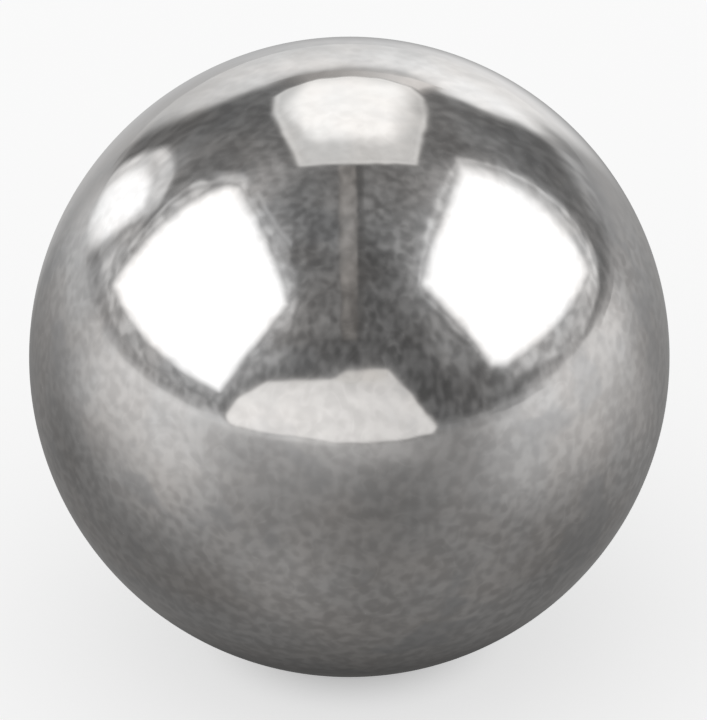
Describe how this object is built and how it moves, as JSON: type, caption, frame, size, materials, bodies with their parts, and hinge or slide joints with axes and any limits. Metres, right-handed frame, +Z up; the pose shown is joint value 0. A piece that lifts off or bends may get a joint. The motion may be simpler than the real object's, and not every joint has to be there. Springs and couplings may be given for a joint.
{
  "type": "steel ball",
  "caption": "Solid polished steel ball, a plain mirror-bright sphere that rolls in a race, groove, cup or cone seat.",
  "frame": {"origin": "centre of the ball", "axes": "+Z up; the sphere is the same about every axis, so +X and +Y are free, and -Z points at what carries the ball"},
  "size_m": [0.0254, 0.0254, 0.0254],
  "materials": {
    "polished_steel": "polished"
  },
  "bodies": {
    "root": {"ball": "polished_steel"}
  },
  "joints": []
}
